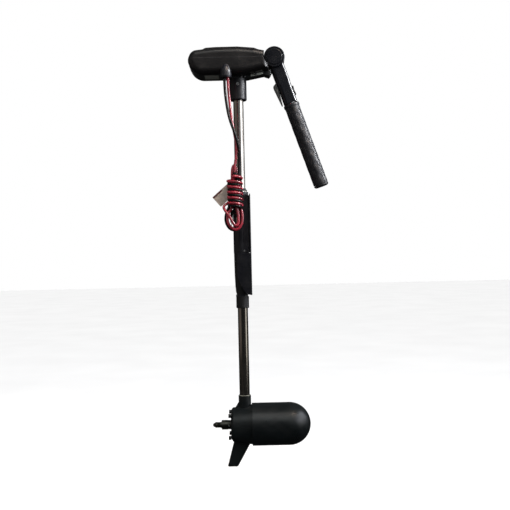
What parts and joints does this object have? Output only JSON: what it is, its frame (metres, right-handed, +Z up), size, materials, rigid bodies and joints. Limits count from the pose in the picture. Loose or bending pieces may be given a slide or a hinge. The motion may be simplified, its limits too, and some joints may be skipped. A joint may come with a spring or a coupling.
{
  "type": "trolling motor",
  "caption": "Hand-steered electric trolling motor: control head with folded twist-grip tiller, steering shaft in a mounting sleeve, cylindrical underwater motor with skeg, bare drive shaft.",
  "frame": {"origin": "centre of the transom mounting pad's four bolt holes, on the pad's face", "axes": "+X forward, out of the mounting pad and towards the motor's nose; +Z up along the steering shaft; -X the drive shaft's end"},
  "size_m": [0.3753, 0.1498, 1.1467],
  "materials": {
    "head_plastic": "satin moulded charcoal",
    "arm_plastic": "glossy black",
    "motor_paint": "dark powder coat, satin",
    "sleeve_paint": "dark blue-grey powder coat",
    "cover_plastic": "flat black",
    "shaft_steel": "polished stainless, slightly stained",
    "output_steel": "dark turned steel",
    "fastener_steel": "zinc plated",
    "black_fastener": "blackened",
    "grip_rubber": "stippled rubber",
    "lead_red": "extruded insulation",
    "lead_black": "extruded insulation",
    "terminal_metal": "tinned",
    "tag_card": "blank card",
    "plate_grey": "blank plate",
    "lever_grey": "moulded grey",
    "seal_grey": "light grey seal",
    "gasket_rubber": "black rubber",
    "bush_plastic": "acetal",
    "board": "solder mask",
    "components": "moulded packages",
    "heat_sink": "extruded",
    "magnet": "ferrite",
    "core_steel": "laminated",
    "winding_copper": "enamelled copper",
    "commutator_copper": "copper bars",
    "bearing_steel": "ground",
    "carbon": "carbon",
    "spring_steel": "drawn wire"
  },
  "bodies": {
    "mount": {"mount_sleeve": "sleeve_paint", "sleeve_set_screws": "fastener_steel", "lower_sleeve_cover": "cover_plastic", "bracket_channel": "sleeve_paint", "channel_screws": "fastener_steel", "upper_bush": "bush_plastic", "lower_bush": "bush_plastic"},
    "tension_knob": {"tension_knob": "cover_plastic"},
    "steering_tube": {"steering_tube": "sleeve_paint", "tube_ring": "black_fastener", "depth_collar": "cover_plastic", "collar_screw": "fastener_steel"},
    "shaft": {"shaft_tube": "shaft_steel", "motor_leads": "lead_black", "rear_bracket": "motor_paint", "socket_ring": "seal_grey", "motor_housing": "motor_paint", "housing_seal": "gasket_rubber", "through_bolts": "black_fastener", "front_bearing_plate": "heat_sink", "motor_bearings": "bearing_steel", "shaft_seal": "gasket_rubber", "field_magnets": "magnet", "brush_plate": "components", "brushes": "carbon", "head_lower_shell": "head_plastic", "head_upper_shell": "head_plastic", "head_gasket": "gasket_rubber", "head_screws": "black_fastener", "top_panel": "head_plastic", "tiller_bracket": "motor_paint", "head_collar": "sleeve_paint", "collar_clamp_screws": "fastener_steel", "bracket_screws": "fastener_steel", "pivot_bolt": "fastener_steel", "rating_plates": "plate_grey", "control_board": "board", "board_components": "components", "heat_sink": "heat_sink", "strain_relief": "gasket_rubber", "lead_red": "lead_red", "lead_black": "lead_black", "cable_hank": "lead_red", "ring_terminals": "terminal_metal", "hang_tag": "tag_card"},
    "propeller_shaft": {"output_shaft": "output_steel", "drive_pin": "fastener_steel", "armature_core": "core_steel", "armature_windings": "winding_copper", "commutator": "commutator_copper"},
    "tiller": {"tiller_arm": "arm_plastic", "pivot_caps": "arm_plastic", "switch_housing": "arm_plastic", "grip_spindle": "heat_sink", "lever_spring": "spring_steel"},
    "direction_switch": {"direction_switch": "cover_plastic"},
    "release_lever": {"release_lever": "lever_grey"},
    "twist_grip": {"grip_core": "components", "grip_rubber": "grip_rubber", "grip_end_cap": "grip_rubber"}
  },
  "joints": [
    {"name": "steer", "type": "hinge", "parent": "mount", "child": "steering_tube", "pos_m": [-0.027, 0, 0], "axis": [0, 0, 1], "range_deg": [-180, 180]},
    {"name": "depth", "type": "slide", "parent": "steering_tube", "child": "shaft", "axis": [0, 0, 1], "range_m": [-0.235, 0.232]},
    {"name": "tension_knob_turn", "type": "hinge", "parent": "mount", "child": "tension_knob", "pos_m": [-0.027, 0.03, 0.015], "axis": [0, 1, 0], "range_deg": [0, 360]},
    {"name": "propeller_spin", "type": "hinge", "parent": "shaft", "child": "propeller_shaft", "pos_m": [-0.027, 0, -0.56], "axis": [1, 0, 0], "continuous": true},
    {"name": "tiller_fold", "type": "hinge", "parent": "shaft", "child": "tiller", "pos_m": [0.074, 0, 0.443], "axis": [0, -1, 0], "range_deg": [0, 115]},
    {"name": "grip_twist", "type": "hinge", "parent": "tiller", "child": "twist_grip", "pos_m": [0.074, 0, 0.443], "axis": [0.3289, 0, -0.9444], "range_deg": [-60, 60]},
    {"name": "direction_rock", "type": "hinge", "parent": "tiller", "child": "direction_switch", "pos_m": [0.12185, 0, 0.35272], "axis": [0, -1, 0], "range_deg": [-8, 8]},
    {"name": "release_squeeze", "type": "hinge", "parent": "tiller", "child": "release_lever", "pos_m": [0.08604, 0, 0.35825], "axis": [0, -1, 0], "range_deg": [0, 5], "stiffness_Nm_per_rad": 5}
  ]
}
